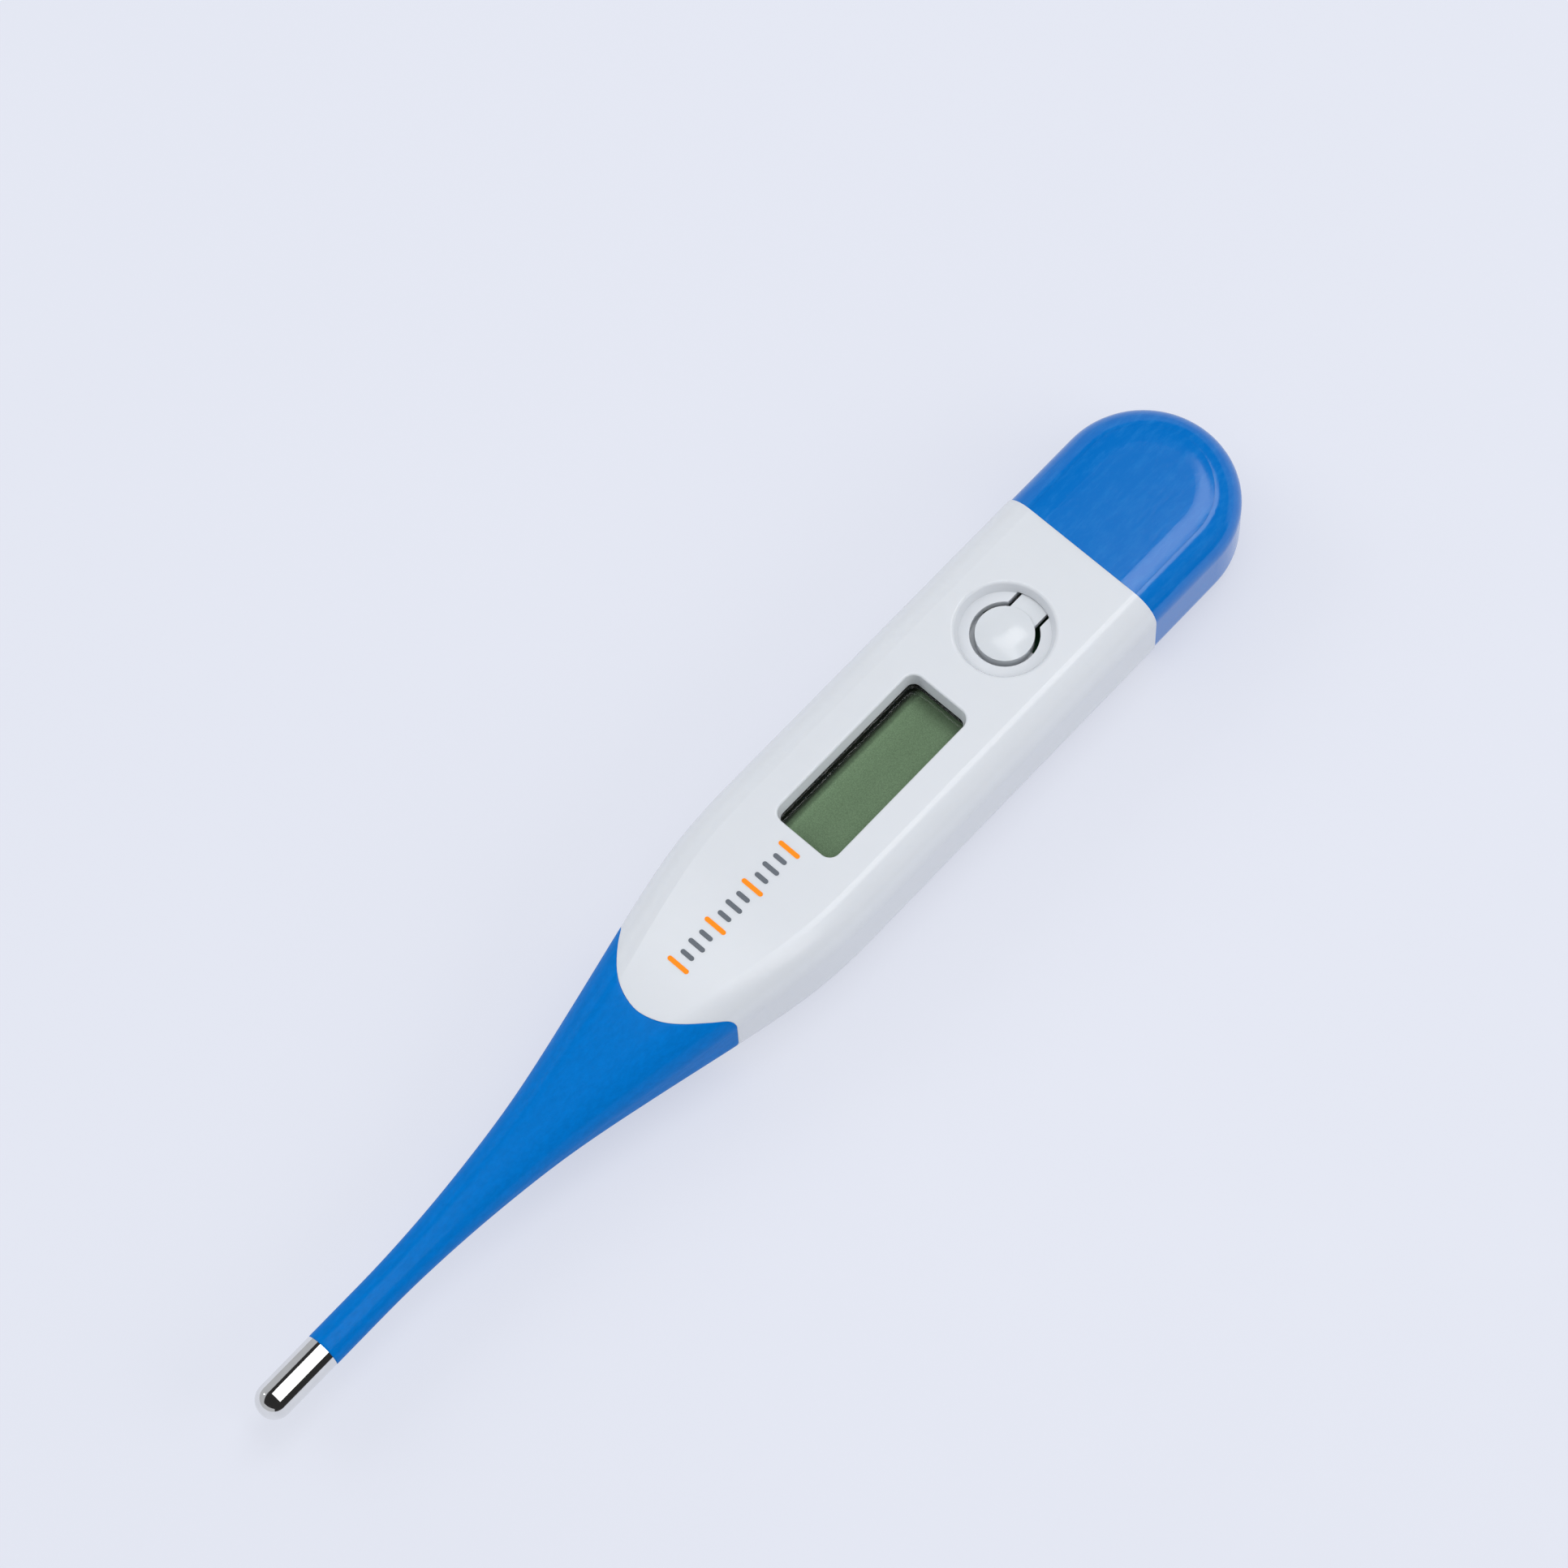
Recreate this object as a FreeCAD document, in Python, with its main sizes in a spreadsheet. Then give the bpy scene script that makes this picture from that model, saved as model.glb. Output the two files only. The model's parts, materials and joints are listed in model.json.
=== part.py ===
import FreeCAD, Part
import math
import os
import re

# Flexible-tip digital thermometer, millimetres.
# +X runs from the metal tip to the battery cover, +Z is up, the flat back lies on Z = 0.

DOC = FreeCAD.newDocument("digital_thermometer")

SIZES = {
    # whole body
    "axis_height": 5.6, "body_depth": 11.2, "body_width": 19.4, "body_corner": 3.0,
    "tip_end": -67.0, "barrel_start": 7.0, "joint_plane": 48.15,
    # window in the top face
    "window_start": 7.7, "window_end": 27.8, "window_width": 7.6, "window_depth": 1.6,
    "window_corner": 1.2, "window_draft": 0.3,
    # button dish and keyhole
    "button_centre": 36.9, "dish_rim": 5.05, "dish_floor": 4.55, "dish_depth": 1.06,
    "dish_under": 9.1, "dish_pad": 5.6,
    "keyhole": 3.47, "slot_half": 2.06, "tongue_half": 1.6, "button_radius": 2.93,
    "tongue_top": 10.08, "tongue_under": 9.4, "root_centre": 43.2, "root_height": 9.65,
    "root_radius": 0.5, "pocket_end": 44.0,
    "flange_radius": 3.95, "flange_under": 8.5, "flange_top": 8.85, "flange_edge": 0.7,
    "plunger_radius": 1.2, "plunger_end": 6.05, "button_shoulder": 10.3, "button_crown": 10.78,
    # hollow inside and the rear spigot
    "ceiling": 9.6, "inner_floor": 1.4, "spigot_length": 4.0, "spigot_inner": 15.6,
    "spigot_low": 1.8, "spigot_high": 9.4, "neck_end": -25.5, "bore_radius": 0.95,
    # lens and display stack
    "lens_length": 23.0, "lens_width": 10.6, "lens_thickness": 0.8, "tape_thickness": 0.1,
    "display_centre": 17.6, "display_length": 24.0, "glass_width": 12.4, "glass_thickness": 0.55,
    "glass_under": 7.8, "film_thickness": 0.15, "film_low": -4.9, "film_high": 3.1,
    "rear_glass_low": -5.2, "rear_glass_high": 3.0,
    "zebra_low": 3.4, "zebra_high": 5.0, "zebra_length": 21.0,
    # circuit board and what is soldered on it
    "board_start": -6.0, "board_end": 46.4, "board_half": 5.2, "board_under": 4.4,
    "board_top": 5.2, "dome_radius": 2.5, "dome_height": 0.32, "blob_centre": 1.5,
    "blob_radius": 3.0, "blob_height": 1.0,
    # chassis tray
    "tray_start": 0.0, "tray_end": 59.4, "tray_floor": 1.9, "tray_floor_top": 2.7,
    "tray_inner": 5.4, "tray_outer": 7.6, "ledge_inner": 4.9,
    # buzzer
    "buzzer_centre": 20.0, "plate_radius": 4.7, "ceramic_radius": 3.5, "disc_thickness": 0.2,
    # button cell
    "cell_centre": 53.6, "cell_radius": 3.95, "cell_under": 3.6, "cell_height": 3.6,
    "strip": 0.3,
    # probe joints, sensor tip and lead wires
    "pivot_a": -31.0, "pivot_b": -37.5, "pivot_c": -44.0, "pivot_d": -50.5, "joint_gap": 0.15,
    "metal_start": -58.7, "tip_radius": 1.85, "tip_wall": 0.2, "skirt_end": -54.7,
    "skirt_radius": 1.5, "wire_radius": 0.22, "wire_offset": 0.5, "wire_end": -4.6,
    "bead_centre": -65.2, "bead_radius": 0.6,
    # battery cover
    "cover_width": 19.2, "cover_height": 10.95, "cover_round": 2.9, "cover_inset": 0.92,
    "cover_end": 67.0, "pad_inset": 2.75, "crown_width": 1.9, "crown_drop": 0.21,
    "slide_fit": 0.05,
}

# Outside of the probe and nose: station along X, width, depth and corner radius.
# From the last station to the joint plane the body keeps one section.
NOSE = [
    (-58.7, 3.70, 3.70, 1.82), (-54.0, 3.70, 3.70, 1.82), (-50.0, 3.74, 3.74, 1.83),
    (-45.0, 4.10, 4.05, 1.95), (-40.0, 4.80, 4.55, 2.15), (-35.0, 5.80, 5.25, 2.40),
    (-30.0, 7.12, 6.15, 2.75), (-25.0, 8.90, 7.20, 3.10), (-20.0, 10.95, 8.35, 3.40),
    (-15.0, 13.00, 9.45, 3.45), (-10.0, 15.05, 10.35, 3.30), (-5.0, 17.05, 10.90, 3.15),
    (-0.8, 18.42, 11.14, 3.05), (2.8, 19.12, 11.20, 3.00),
    (6.0, 19.37, 11.20, 3.00), (7.0, 19.40, 11.20, 3.00),
]
# Where the white top tongue ends against the blue skirt: station and half width.
TONGUE = [
    (-15.45, 0.0), (-15.2, 1.5), (-14.55, 3.0), (-13.45, 4.4), (-12.1, 5.6), (-10.9, 6.5),
    (-9.95, 7.2), (-9.6, 7.75), (-9.55, 8.4), (-9.55, 12.0),
]
PAD_CROWN_STEPS = 5
NODES = []


def make_sheet():
    sheet = DOC.addObject("Spreadsheet::Sheet", "Sizes")
    for row, (alias, value) in enumerate(SIZES.items(), start=1):
        sheet.set("A%d" % row, alias.replace("_", " "))
        sheet.set("B%d" % row, str(value))
        sheet.setAlias("B%d" % row, alias)
    DOC.recompute()


def sized(text):
    """Expression text in which every driving name is read from the sheet."""
    def link(match):
        word = match.group(0)
        return "Sizes." + word if word in SIZES else word
    return re.sub(r"[a-z][a-z_]+", link, text)


def bind(obj, links):
    for prop, text in links.items():
        obj.setExpression(prop, sized(text))
    return obj


def block(x0, x1, y0, y1, z0, z1):
    obj = DOC.addObject("Part::Box", "block")
    return bind(obj, {
        "Length": "(%s) - (%s)" % (x1, x0), "Width": "(%s) - (%s)" % (y1, y0),
        "Height": "(%s) - (%s)" % (z1, z0), "Placement.Base.x": x0,
        "Placement.Base.y": y0, "Placement.Base.z": z0,
    })


def post(x, y, z0, z1, radius):
    obj = DOC.addObject("Part::Cylinder", "post")
    return bind(obj, {
        "Radius": radius, "Height": "(%s) - (%s)" % (z1, z0), "Placement.Base.x": x,
        "Placement.Base.y": y, "Placement.Base.z": z0,
    })


def rod(x0, x1, y, z, radius):
    """Cylinder along X."""
    obj = DOC.addObject("Part::Cylinder", "rod")
    obj.Placement = FreeCAD.Placement(
        FreeCAD.Vector(), FreeCAD.Rotation(FreeCAD.Vector(0, 1, 0), 90))
    return bind(obj, {
        "Radius": radius, "Height": "(%s) - (%s)" % (x1, x0), "Placement.Base.x": x0,
        "Placement.Base.y": y, "Placement.Base.z": z,
    })


def knuckle(x, radius):
    """Cylinder across the whole probe, along Y, round a bending axis."""
    return cross_rod(x, "-15", "15", "axis_height", radius)


def cross_rod(x, y0, y1, z, radius):
    """Cylinder along Y."""
    obj = DOC.addObject("Part::Cylinder", "cross_rod")
    obj.Placement = FreeCAD.Placement(
        FreeCAD.Vector(), FreeCAD.Rotation(FreeCAD.Vector(1, 0, 0), -90))
    return bind(obj, {
        "Radius": radius, "Height": "(%s) - (%s)" % (y1, y0), "Placement.Base.x": x,
        "Placement.Base.y": y0, "Placement.Base.z": z,
    })


def ball(x, y, z, radius):
    obj = DOC.addObject("Part::Sphere", "ball")
    return bind(obj, {
        "Radius": radius, "Placement.Base.x": x, "Placement.Base.y": y,
        "Placement.Base.z": z,
    })


def funnel(x, z0, z1, low, high):
    """Cone along Z, from its low radius to its high one."""
    obj = DOC.addObject("Part::Cone", "funnel")
    return bind(obj, {
        "Radius1": low, "Radius2": high, "Height": "(%s) - (%s)" % (z1, z0),
        "Placement.Base.x": x, "Placement.Base.z": z0,
    })


def form(shape):
    obj = DOC.addObject("Part::Feature", "form")
    obj.Shape = shape
    return obj


def joined(*parts):
    obj = DOC.addObject("Part::MultiFuse", "joined")
    obj.Shapes = list(parts)
    return obj


def shared(*parts):
    obj = DOC.addObject("Part::MultiCommon", "shared")
    obj.Shapes = list(parts)
    return obj


def without(base, *tools):
    obj = DOC.addObject("Part::Cut", "cut")
    obj.Base = base
    obj.Tool = tools[0] if len(tools) == 1 else joined(*tools)
    return obj


def node(name, obj):
    obj.Label = name
    NODES.append((name, obj))
    return obj


def round_box_wire(width, depth, radius, place):
    """Rounded rectangle about the origin, each corner point put in space by place."""
    half = width / 2 - radius
    rise = depth / 2 - radius
    diagonal = radius * math.sqrt(0.5)
    corners = [(half, rise, 1, 1), (-half, rise, -1, 1), (-half, -rise, -1, -1),
               (half, -rise, 1, -1)]
    edges = []
    last = None
    for index, (across, up, side, top) in enumerate(corners):
        flat = (across, up + top * radius)
        edge_on = (across + side * radius, up)
        middle = (across + side * diagonal, up + top * diagonal)
        start, end = (edge_on, flat) if index % 2 == 0 else (flat, edge_on)
        if last:
            edges.append(Part.LineSegment(place(*last), place(*start)).toShape())
        edges.append(Part.Arc(place(*start), place(*middle), place(*end)).toShape())
        last = end
    first = (corners[0][0] + radius, corners[0][1])
    edges.append(Part.LineSegment(place(*last), place(*first)).toShape())
    return Part.Wire(edges)


def nose_loft(stations, thinner=0.0, rounding=0.0):
    """Solid through cross-sections of the nose, each smaller by the given amounts."""
    wires = []
    for x, width, depth, radius in stations:
        def place(across, up, x=x):
            return FreeCAD.Vector(x, across, SIZES["axis_height"] + up)
        wires.append(round_box_wire(width - thinner, depth - thinner, radius - rounding, place))
    return Part.makeLoft(wires, True, False)


def hollow_loft(stations):
    """Inside of the white body, under a ceiling of constant height."""
    low = SIZES["inner_floor"]
    depth = SIZES["ceiling"] - low
    wires = []
    for x, width, _, _ in stations:
        def place(across, up, x=x):
            return FreeCAD.Vector(x, across, low + depth / 2 + up)
        wires.append(round_box_wire(width - 3.0, depth, 1.8, place))
    return Part.makeLoft(wires, True, False)


def prism(wire, z0, z1):
    face = Part.Face(wire)
    face.translate(FreeCAD.Vector(0, 0, z0))
    return face.extrude(FreeCAD.Vector(0, 0, z1 - z0))


def tube_section(x0, x1, width, z0, z1, radius):
    """Rounded rectangular bar along X."""
    def place(across, up):
        return FreeCAD.Vector(x0, across, (z0 + z1) / 2 + up)
    face = Part.Face(round_box_wire(width, z1 - z0, radius, place))
    return face.extrude(FreeCAD.Vector(x1 - x0, 0, 0))


def barrel():
    """Straight part of the body behind the nose."""
    return form(tube_section(SIZES["barrel_start"], SIZES["joint_plane"], SIZES["body_width"], 0.0,
                             SIZES["body_depth"], SIZES["body_corner"]))


def skirt_boundary():
    """Tall prism over everything on the white side of the skirt's swept edge."""
    upper = [FreeCAD.Vector(x, y, 0) for x, y in TONGUE[:-1]]
    lower = [FreeCAD.Vector(x, -y, 0) for x, y in TONGUE[1:-1]]
    curve = Part.BSplineCurve()
    curve.interpolate(list(reversed(lower)) + upper)
    last_x, last_y = TONGUE[-1]
    outline = [upper[-1], FreeCAD.Vector(last_x, last_y, 0), FreeCAD.Vector(60, last_y, 0),
               FreeCAD.Vector(60, -last_y, 0), FreeCAD.Vector(last_x, -last_y, 0), lower[-1]]
    wire = Part.Wire([curve.toShape()] + Part.makePolygon(outline).Edges)
    return prism(wire, -1.0, 13.0)


def window_recess():
    """Window opening, wider at the top face than inside."""
    middle = (SIZES["window_start"] + SIZES["window_end"]) / 2
    length = SIZES["window_end"] - SIZES["window_start"]
    draft = SIZES["window_draft"]
    wires = []
    for drop, inset in ((-0.4, -draft * 0.25), (SIZES["window_depth"] + 0.4, draft * 1.25)):
        def place(along, across, z=SIZES["body_depth"] - drop):
            return FreeCAD.Vector(middle + along, across, z)
        wires.append(round_box_wire(length - 2 * inset, SIZES["window_width"] - 2 * inset,
                                    SIZES["window_corner"] - inset, place))
    return Part.makeLoft(wires, True, False)


def cover_wire(inset, start):
    """Plan of the battery cover: straight sides and a round end."""
    half = SIZES["cover_width"] / 2 - inset
    end = SIZES["cover_end"] - inset
    turn = SIZES["cover_end"] - SIZES["cover_width"] / 2
    points = [FreeCAD.Vector(start, -half, 0), FreeCAD.Vector(turn, -half, 0),
              FreeCAD.Vector(end, 0, 0), FreeCAD.Vector(turn, half, 0),
              FreeCAD.Vector(start, half, 0)]
    return Part.Wire([
        Part.LineSegment(points[0], points[1]).toShape(),
        Part.Arc(points[1], points[2], points[3]).toShape(),
        Part.LineSegment(points[3], points[4]).toShape(),
        Part.LineSegment(points[4], points[0]).toShape(),
    ])


def rim_edges(shape, height, start):
    """Edges of a flat face at one height, leaving out the one across the joint."""
    found = []
    for edge in shape.Edges:
        box = edge.BoundBox
        level = abs(box.ZMin - height) < 1e-4 and abs(box.ZMax - height) < 1e-4
        if level and box.XMax - start > 1e-3:
            found.append(edge)
    return found


def rounded_cover_form(inset, start, z0, z1, radius):
    bar = prism(cover_wire(inset, start), z0, z1)
    return bar.makeFillet(radius, rim_edges(bar, z0, start) + rim_edges(bar, z1, start))


def inner_neck():
    """White core of the nose, inside the blue skirt."""
    core = [s for s in NOSE if -30.0 < s[0] <= 0.0]
    return without(form(nose_loft(core, 2.6, 1.0)),
                   block("-40", "neck_end", "-10", "10", "0", "12"))


def make_housing(outer, white_side, neck):
    white = shared(outer, white_side)
    spigot = form(tube_section(SIZES["joint_plane"] - 1.0,
                               SIZES["joint_plane"] + SIZES["spigot_length"],
                               SIZES["spigot_inner"] + 1.6, SIZES["spigot_low"] - 0.8,
                               SIZES["spigot_high"] + 0.8, 2.2))
    inside = [(-8.0, 15.8, 0, 0)] + [s for s in NOSE if s[0] > -8.0]
    width = SIZES["body_width"] - 3.0
    chamber = tube_section(SIZES["barrel_start"], SIZES["joint_plane"] - 2.0, width,
                           SIZES["inner_floor"], SIZES["ceiling"], 1.8)
    hollow = joined(form(hollow_loft(inside)), form(chamber))
    mouth = form(tube_section(45.0, 53.0, SIZES["spigot_inner"], SIZES["spigot_low"],
                              SIZES["spigot_high"], 1.6))
    dish = funnel("button_centre", "body_depth - dish_depth", "body_depth + 0.4",
                  "dish_floor", "dish_rim + 0.19")
    keyhole = post("button_centre", "0", "ceiling - 1", "body_depth", "keyhole")
    slot = block("button_centre", "pocket_end", "-slot_half", "slot_half", "ceiling - 1",
                 "tongue_top + 0.17")
    pad = post("button_centre", "0", "dish_under", "ceiling + 0.1", "dish_pad")
    bore = rod("neck_end - 1", "0", "0", "axis_height", "bore_radius")
    shell = joined(white, neck, spigot)
    shell = joined(without(shell, hollow, mouth), pad)
    rough = without(shell, form(window_recess()), dish, keyhole, slot, bore)
    DOC.recompute()
    return node("housing", soften(rough))


def soften(rough):
    """Small rounding on the window and dish rims in the top face."""
    top = SIZES["body_depth"]
    rims = []
    for index, edge in enumerate(rough.Shape.Edges, start=1):
        box = edge.BoundBox
        level = abs(box.ZMin - top) < 0.01 and abs(box.ZMax - top) < 0.01
        inside = abs(box.YMin) < 5.4 and abs(box.YMax) < 5.4
        if level and inside and box.XMin > 5.0 and box.XMax < 44.0:
            size = 0.35 if box.XMin > 30.0 else 0.22
            rims.append((index, size, size))
    obj = DOC.addObject("Part::Fillet", "soft_rims")
    obj.Base = rough
    obj.Edges = rims
    return obj


def segment(outer, pivot, next_pivot):
    """One length of probe: round end at its own pivot, hollow end at the next one."""
    radius = "%.3f" % (depth_at(SIZES[pivot]) / 2)
    span = block(next_pivot or "metal_start", pivot, "-15", "15", "-5", "20")
    end = knuckle(pivot, radius)
    piece = shared(outer, joined(span, end))
    bore = rod("metal_start - 1", "pivot_a + 8", "0", "axis_height", "bore_radius")
    if not next_pivot:
        socket = rod("metal_start - 1", "skirt_end + 0.1", "0", "axis_height",
                     "skirt_radius + 0.02")
        return without(piece, bore, socket)
    next_radius = "%.3f + joint_gap" % (depth_at(SIZES[next_pivot]) / 2)
    return without(piece, bore, knuckle(next_pivot, next_radius))


def depth_at(x):
    """Depth of the probe at a station, between the stations of the table."""
    for (x0, _, d0, _), (x1, _, d1, _) in zip(NOSE, NOSE[1:]):
        if x0 <= x <= x1:
            return d0 + (d1 - d0) * (x - x0) / (x1 - x0)
    raise ValueError("station outside the body")


def make_probe(outer, white_side, housing_neck):
    radius = "%.3f + joint_gap" % (depth_at(SIZES["pivot_a"]) / 2)
    span = block("pivot_a", "0", "-15", "15", "-5", "20")
    blue = without(shared(outer, span), white_side, housing_neck, knuckle("pivot_a", radius),
                   rod("pivot_a - 1", "0", "0", "axis_height", "bore_radius"))
    node("probe_skirt", blue)
    pivots = ["pivot_a", "pivot_b", "pivot_c", "pivot_d", None]
    names = ["probe_flex_1", "probe_flex_2", "probe_flex_3", "probe_sleeve"]
    for name, pivot, following in zip(names, pivots, pivots[1:]):
        node(name, segment(outer, pivot, following))


def bullet(start, end, radius, z="axis_height"):
    """Rod along X with a half-ball at its low end; start is the centre of the ball."""
    return joined(rod(start, end, "0", z, radius), ball(start, "0", z, radius))


def make_tip():
    centre = "tip_end + tip_radius"
    cup = joined(bullet(centre, "metal_start", "tip_radius"),
                 rod("metal_start - 0.5", "skirt_end", "0", "axis_height", "skirt_radius"))
    inner = joined(bullet(centre, "metal_start - 0.3", "tip_radius - tip_wall"),
                   rod("metal_start - 1", "skirt_end + 1", "0", "axis_height",
                       "skirt_radius - tip_wall"))
    node("sensor_tip", without(cup, inner))
    bead = ball("bead_centre", "0", "axis_height", "bead_radius")
    wires = [rod("bead_centre + 0.3", "wire_end", y, "axis_height", "wire_radius")
             for y in ("wire_offset", "-wire_offset")]
    node("thermistor_bead", without(bead, *[copy_wire(y) for y in (1, -1)]))
    plug = bullet(centre, "-62", "tip_radius - tip_wall - 0.01")
    hole = ball("bead_centre", "0", "axis_height", "bead_radius")
    node("tip_potting", without(plug, hole, *[copy_wire(y) for y in (1, -1)]))
    node("lead_wire_left", wires[0])
    node("lead_wire_right", wires[1])


def copy_wire(side):
    """Space taken by one lead wire."""
    offset = "wire_offset" if side > 0 else "-wire_offset"
    return rod("bead_centre + 0.3", "wire_end + 1", offset, "axis_height", "wire_radius")


def make_button():
    disc = post("button_centre", "0", "flange_under", "button_shoulder", "button_radius")
    crown_radius = dome_radius(SIZES["button_radius"],
                               SIZES["button_crown"] - SIZES["button_shoulder"])
    crown = shared(ball("button_centre", "0", "button_crown - %.4f" % crown_radius,
                        "%.4f" % crown_radius),
                   post("button_centre", "0", "button_shoulder - 0.2", "12", "button_radius"))
    tongue = block("button_centre + 2", "root_centre", "-tongue_half", "tongue_half",
                   "tongue_under", "tongue_top")
    root = cross_rod("root_centre", "-tongue_half", "tongue_half", "root_height", "root_radius")
    flange = shared(post("button_centre", "0", "flange_under", "flange_top", "flange_radius"),
                    block("button_centre - 6", "button_centre + flange_edge", "-6", "6",
                          "flange_under", "flange_top"))
    plunger = post("button_centre", "0", "plunger_end", "flange_top", "plunger_radius")
    node("power_button", joined(disc, crown, tongue, root, flange, plunger))


def dome_radius(radius, height):
    """Radius of the ball whose cap has the given base radius and height."""
    return (radius * radius + height * height) / (2 * height)


def make_display():
    start = "display_centre - display_length / 2"
    end = "display_centre + display_length / 2"
    lens_x = ("display_centre - lens_length / 2", "display_centre + lens_length / 2")
    lens_top = "ceiling - tape_thickness"
    half = "lens_width / 2"
    node("window_lens", block(*lens_x, "-" + half, half, lens_top + " - lens_thickness",
                              lens_top))
    tape = block(*lens_x, "-" + half, half, lens_top, "ceiling")
    gap = block("window_start - 0.3", "window_end + 0.3", "-window_width / 2 - 0.3",
                "window_width / 2 + 0.3", lens_top + " - 1", "ceiling + 1")
    node("lens_adhesive", without(tape, gap))
    glass_top = "glass_under + glass_thickness"
    node("lcd_front_glass", block(start, end, "-glass_width / 2", "glass_width / 2",
                                  "glass_under", glass_top))
    node("lcd_front_polariser", block(start + " + 0.6", end + " - 2.0", "film_low", "film_high",
                                      glass_top, glass_top + " + film_thickness"))
    rear_under = "glass_under - glass_thickness"
    node("lcd_rear_glass", block(start, end, "rear_glass_low", "rear_glass_high", rear_under,
                                 "glass_under"))
    node("lcd_reflector", block(start + " + 0.5", end + " - 0.5", "rear_glass_low + 0.4",
                                "rear_glass_high - 0.4", rear_under + " - film_thickness",
                                rear_under))
    node("zebra_strip", block("display_centre - zebra_length / 2",
                              "display_centre + zebra_length / 2", "zebra_low", "zebra_high",
                              "board_top", "glass_under"))


def screw_spots():
    return [("31.2", "-3.6"), ("42.6", "3.4")]


def make_board():
    board = block("board_start", "board_end", "-board_half", "board_half", "board_under",
                  "board_top")
    holes = [post(x, y, "board_under - 1", "board_top + 1", "0.62") for x, y in screw_spots()]
    node("circuit_board", without(board, *holes))
    dome = dome_radius(SIZES["dome_radius"], SIZES["dome_height"])
    node("switch_dome", cap_on_board("button_centre", "0", dome, "dome_height"))
    blob = dome_radius(SIZES["blob_radius"], SIZES["blob_height"])
    node("chip_blob", cap_on_board("blob_centre", "0", blob, "blob_height"))
    resistors = [small_part(x, y, 1.6, 0.8, 0.45) for x, y in
                 ((-3.0, 3.6), (-3.0, -3.6), (31.6, 2.6), (40.5, -3.8))]
    node("smd_resistors", joined(*resistors))
    node("smd_capacitors", joined(*[small_part(x, y, 2.0, 1.25, 0.9) for x, y in
                                    ((9.0, -2.5), (26.0, -2.5), (42.6, -1.6))]))
    solder = joined(*[ball("wire_end - 0.5", y, "board_top + 0.12", "0.46")
                      for y in ("wire_offset", "-wire_offset")])
    pad = block("-8", "0", "-2", "2", "board_top", "board_top + 2")
    node("solder_joints", without(shared(solder, pad), copy_wire(1), copy_wire(-1)))
    node("board_screws", joined(*[screw(x, y) for x, y in screw_spots()]))


def cap_on_board(x, y, radius, height):
    top = "board_top + " + height
    return shared(ball(x, y, "%s - %.4f" % (top, radius), "%.4f" % radius),
                  post(x, y, "board_top", top + " + 1", "6"))


def small_part(x, y, length, width, height):
    return block("%s" % (x - length / 2), "%s" % (x + length / 2), "%s" % (y - width / 2),
                 "%s" % (y + width / 2), "board_top", "board_top + %s" % height)


def screw(x, y):
    shank = post(x, y, "tray_floor_top + 0.3", "board_top + 0.1", "0.5")
    head = shared(post(x, y, "board_top", "board_top + 0.6", "1.05"),
                  ball(x, y, "board_top - 0.75", "1.4"))
    drive = joined(block("%s - 0.7" % x, "%s + 0.7" % x, "%s - 0.11" % y, "%s + 0.11" % y,
                         "board_top + 0.35", "board_top + 1"),
                   block("%s - 0.11" % x, "%s + 0.11" % x, "%s - 0.7" % y, "%s + 0.7" % y,
                         "board_top + 0.35", "board_top + 1"))
    return without(joined(shank, head), drive)


def make_chassis():
    floor = block("tray_start", "tray_end", "-tray_outer", "tray_outer", "tray_floor",
                  "tray_floor_top")
    pieces = [floor]
    for low, high in (("tray_inner", "tray_outer"), ("-tray_outer", "-tray_inner")):
        pieces.append(block("tray_start", "board_end", low, high, "tray_floor", "glass_under"))
        pieces.append(block("board_end - 1", "tray_end", low, high, "tray_floor",
                            "cell_under + 2.4"))
    for low, high in (("ledge_inner", "tray_inner + 0.2"), ("-tray_inner - 0.2", "-ledge_inner")):
        pieces.append(block("tray_start", "board_end - 1", low, high, "tray_floor",
                            "board_under"))
    pieces.append(block("tray_end - 0.9", "tray_end", "-tray_outer", "tray_outer", "tray_floor",
                        "cell_under + 2.4"))
    pieces.append(block("cell_centre - 5", "tray_end - 0.5", "-tray_outer", "tray_outer",
                        "tray_floor", "cell_under - strip"))
    for x, y in screw_spots():
        pieces.append(post(x, y, "tray_floor_top - 0.1", "board_under", "1.4"))
    cup = without(block("cell_centre - 4.6", "cell_centre + 4.6", "-tray_inner - 0.1",
                        "tray_inner + 0.1", "cell_under - strip", "cell_under + 1.6"),
                  post("cell_centre", "0", "cell_under - 1", "cell_under + 4",
                       "cell_radius + 0.12"))
    groove = block("board_end", "cell_centre + 2.6", "-1.7", "4.3", "cell_under - strip",
                   "cell_under + 3")
    pilots = [post(x, y, "tray_floor_top + 0.1", "board_under + 1", "0.52")
              for x, y in screw_spots()]
    tray = joined(*pieces, without(cup, groove))
    envelope = form(tube_section(SIZES["tray_start"], SIZES["tray_end"], 2 * SIZES["tray_outer"],
                                 SIZES["tray_floor"], SIZES["spigot_high"] - 0.1, 1.5))
    round_end = form(prism(cover_wire(SIZES["cover_inset"] + 0.55, -11.0), -2.0, 13.0))
    node("chassis", without(shared(tray, envelope, round_end), *pilots))


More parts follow.
